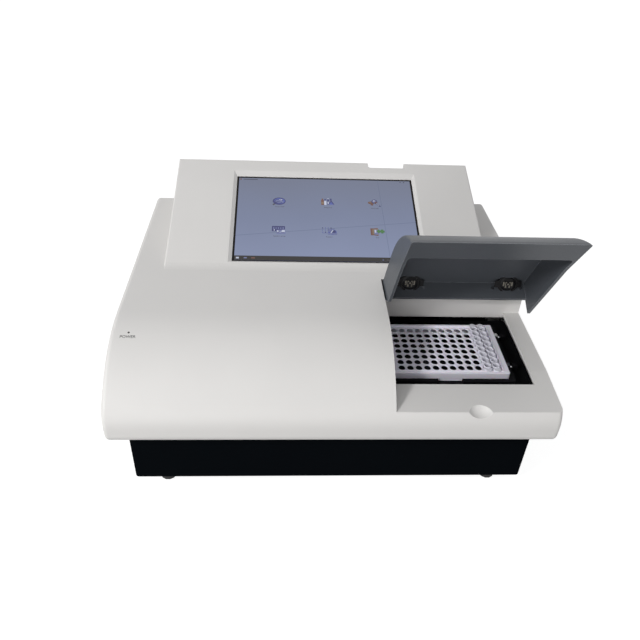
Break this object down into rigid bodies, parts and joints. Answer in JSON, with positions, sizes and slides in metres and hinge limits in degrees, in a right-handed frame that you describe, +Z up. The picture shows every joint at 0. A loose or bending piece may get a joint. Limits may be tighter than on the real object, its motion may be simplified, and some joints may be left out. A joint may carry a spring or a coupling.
{
  "type": "microplate reader",
  "caption": "Bench-top microplate reader with a sloping touch screen, a curved cover, a plate bay under a hinged lid, and a belt-driven plate carriage under a filter photometer.",
  "frame": {"origin": "on the table under the middle of the case, at the bottom of the feet", "axes": "+X to the right seen from the front, +Y to the back, +Z up; the lid is stored open"},
  "size_m": [0.4424, 0.363, 0.276],
  "materials": {
    "cover_white": "fine pebbled moulded plastic, warm white",
    "base_black": "satin black powder coat",
    "lid_grey": "fine textured dark grey plastic",
    "foot_rubber": "matt black rubber",
    "carrier_black": "black anodised",
    "chassis_black": "black anodised plate",
    "plate_white": "smooth white polystyrene",
    "strip_clear": "clear polystyrene",
    "screen_glass": "gloss black glass with a lit picture",
    "lcd_metal": "pressed sheet",
    "steel": "ground and polished steel",
    "zinc": "zinc plated sheet",
    "machined": "machined aluminium",
    "brass": "sintered bronze",
    "belt_rubber": "moulded belt rubber",
    "motor_black": "black motor case",
    "board_green": "solder mask on glass-fibre board",
    "hinge_black": "black nylon cup with a steel core",
    "filter_glass": "coated interference filter",
    "lens_glass": "clear optical glass",
    "lamp_glass": "quartz bulb on a ceramic base",
    "port_black": "black moulded nylon",
    "indicator": "dark light pipe"
  },
  "bodies": {
    "case": {"base_tray": "base_black", "feet": "foot_rubber", "main_cover": "cover_white", "cover_screws": "steel", "display_glass": "screen_glass", "lcd_panel": "lcd_metal", "display_bracket": "zinc", "power_indicator": "indicator", "chassis_plate": "chassis_black", "chassis_pillars": "machined", "guide_rod_front": "steel", "guide_rod_back": "steel", "rod_support_left": "machined", "rod_support_right": "machined", "drive_motor": "motor_black", "motor_bracket": "zinc", "idler_bracket": "zinc", "drive_belt": "belt_rubber", "optics_bridge": "carrier_black", "lens_barrels": "machined", "detector_board": "board_green", "fibre_bundle": "port_black", "optics_bracket": "chassis_black", "filter_motor": "motor_black", "lamp_housing": "machined", "condenser_lens": "lens_glass", "lamp": "lamp_glass", "main_board": "board_green", "board_standoffs": "brass", "power_supply": "zinc", "power_inlet": "port_black", "switch_frame": "port_black", "data_ports": "zinc", "fan_frame": "port_black", "hinge_arm_left": "zinc", "hinge_arm_right": "zinc"},
    "carriage": {"plate_carrier": "carrier_black", "carriage_block_front": "carrier_black", "carriage_block_back": "carrier_black", "carriage_bushes": "brass", "clamp_guides": "carrier_black", "belt_clamp": "machined", "microplate_frame": "plate_white", "well_strip_11": "strip_clear", "well_strip_12": "strip_clear"},
    "clamp_front": {"plate_clamp_front": "steel"},
    "clamp_back": {"plate_clamp_back": "steel"},
    "drive_pulley": {"drive_pulley": "machined", "motor_shaft": "steel"},
    "idler_pulley": {"idler_pulley": "machined"},
    "lid": {"lid": "lid_grey", "hinge_cup_left": "hinge_black", "hinge_cup_right": "hinge_black", "hinge_pin_left": "steel", "hinge_pin_right": "steel", "hinge_screws": "steel"},
    "filter_wheel": {"filter_wheel": "machined", "filters": "filter_glass"},
    "fan_rotor": {"fan_rotor": "port_black"},
    "rocker": {"rocker": "port_black"}
  },
  "joints": [
    {"name": "carriage_slide", "type": "slide", "parent": "case", "child": "carriage", "axis": [1, 0, 0], "range_m": [-0.1511, 0]},
    {"name": "drive_pulley_spin", "type": "hinge", "parent": "case", "child": "drive_pulley", "pos_m": [-0.15, -0.033, 0.089], "axis": [0, 1, 0], "range_deg": [-1090, 5]},
    {"name": "idler_pulley_spin", "type": "hinge", "parent": "case", "child": "idler_pulley", "pos_m": [0.116, -0.033, 0.089], "axis": [0, 1, 0], "range_deg": [-1090, 5]},
    {"name": "lid_hinge", "type": "hinge", "parent": "case", "child": "lid", "pos_m": [0.14, -0.0157, 0.15575], "axis": [-1, 0, 0], "range_deg": [-60.3, 9.7]},
    {"name": "filter_wheel_spin", "type": "hinge", "parent": "case", "child": "filter_wheel", "pos_m": [0.02, 0.0225, 0.12], "axis": [0, 1, 0], "continuous": true},
    {"name": "fan_spin", "type": "hinge", "parent": "case", "child": "fan_rotor", "pos_m": [-0.128, 0.162, 0.0435], "axis": [0, 1, 0], "continuous": true},
    {"name": "power_rocker", "type": "hinge", "parent": "case", "child": "rocker", "pos_m": [0.108, 0.1695, 0.042], "axis": [1, 0, 0], "range_deg": [-18, 0]},
    {"name": "clamp_front_slide", "type": "slide", "parent": "carriage", "child": "clamp_front", "axis": [1, 0, 0], "range_m": [0, 0.003], "stiffness_N_per_m": 200, "springref_m": -0.002},
    {"name": "clamp_back_slide", "type": "slide", "parent": "carriage", "child": "clamp_back", "axis": [1, 0, 0], "range_m": [0, 0.003], "stiffness_N_per_m": 200, "springref_m": -0.002}
  ],
  "couplings": [
    {"joint": "drive_pulley_spin", "follows": "carriage_slide", "rad_per_m": 125},
    {"joint": "idler_pulley_spin", "follows": "carriage_slide", "rad_per_m": 125}
  ]
}
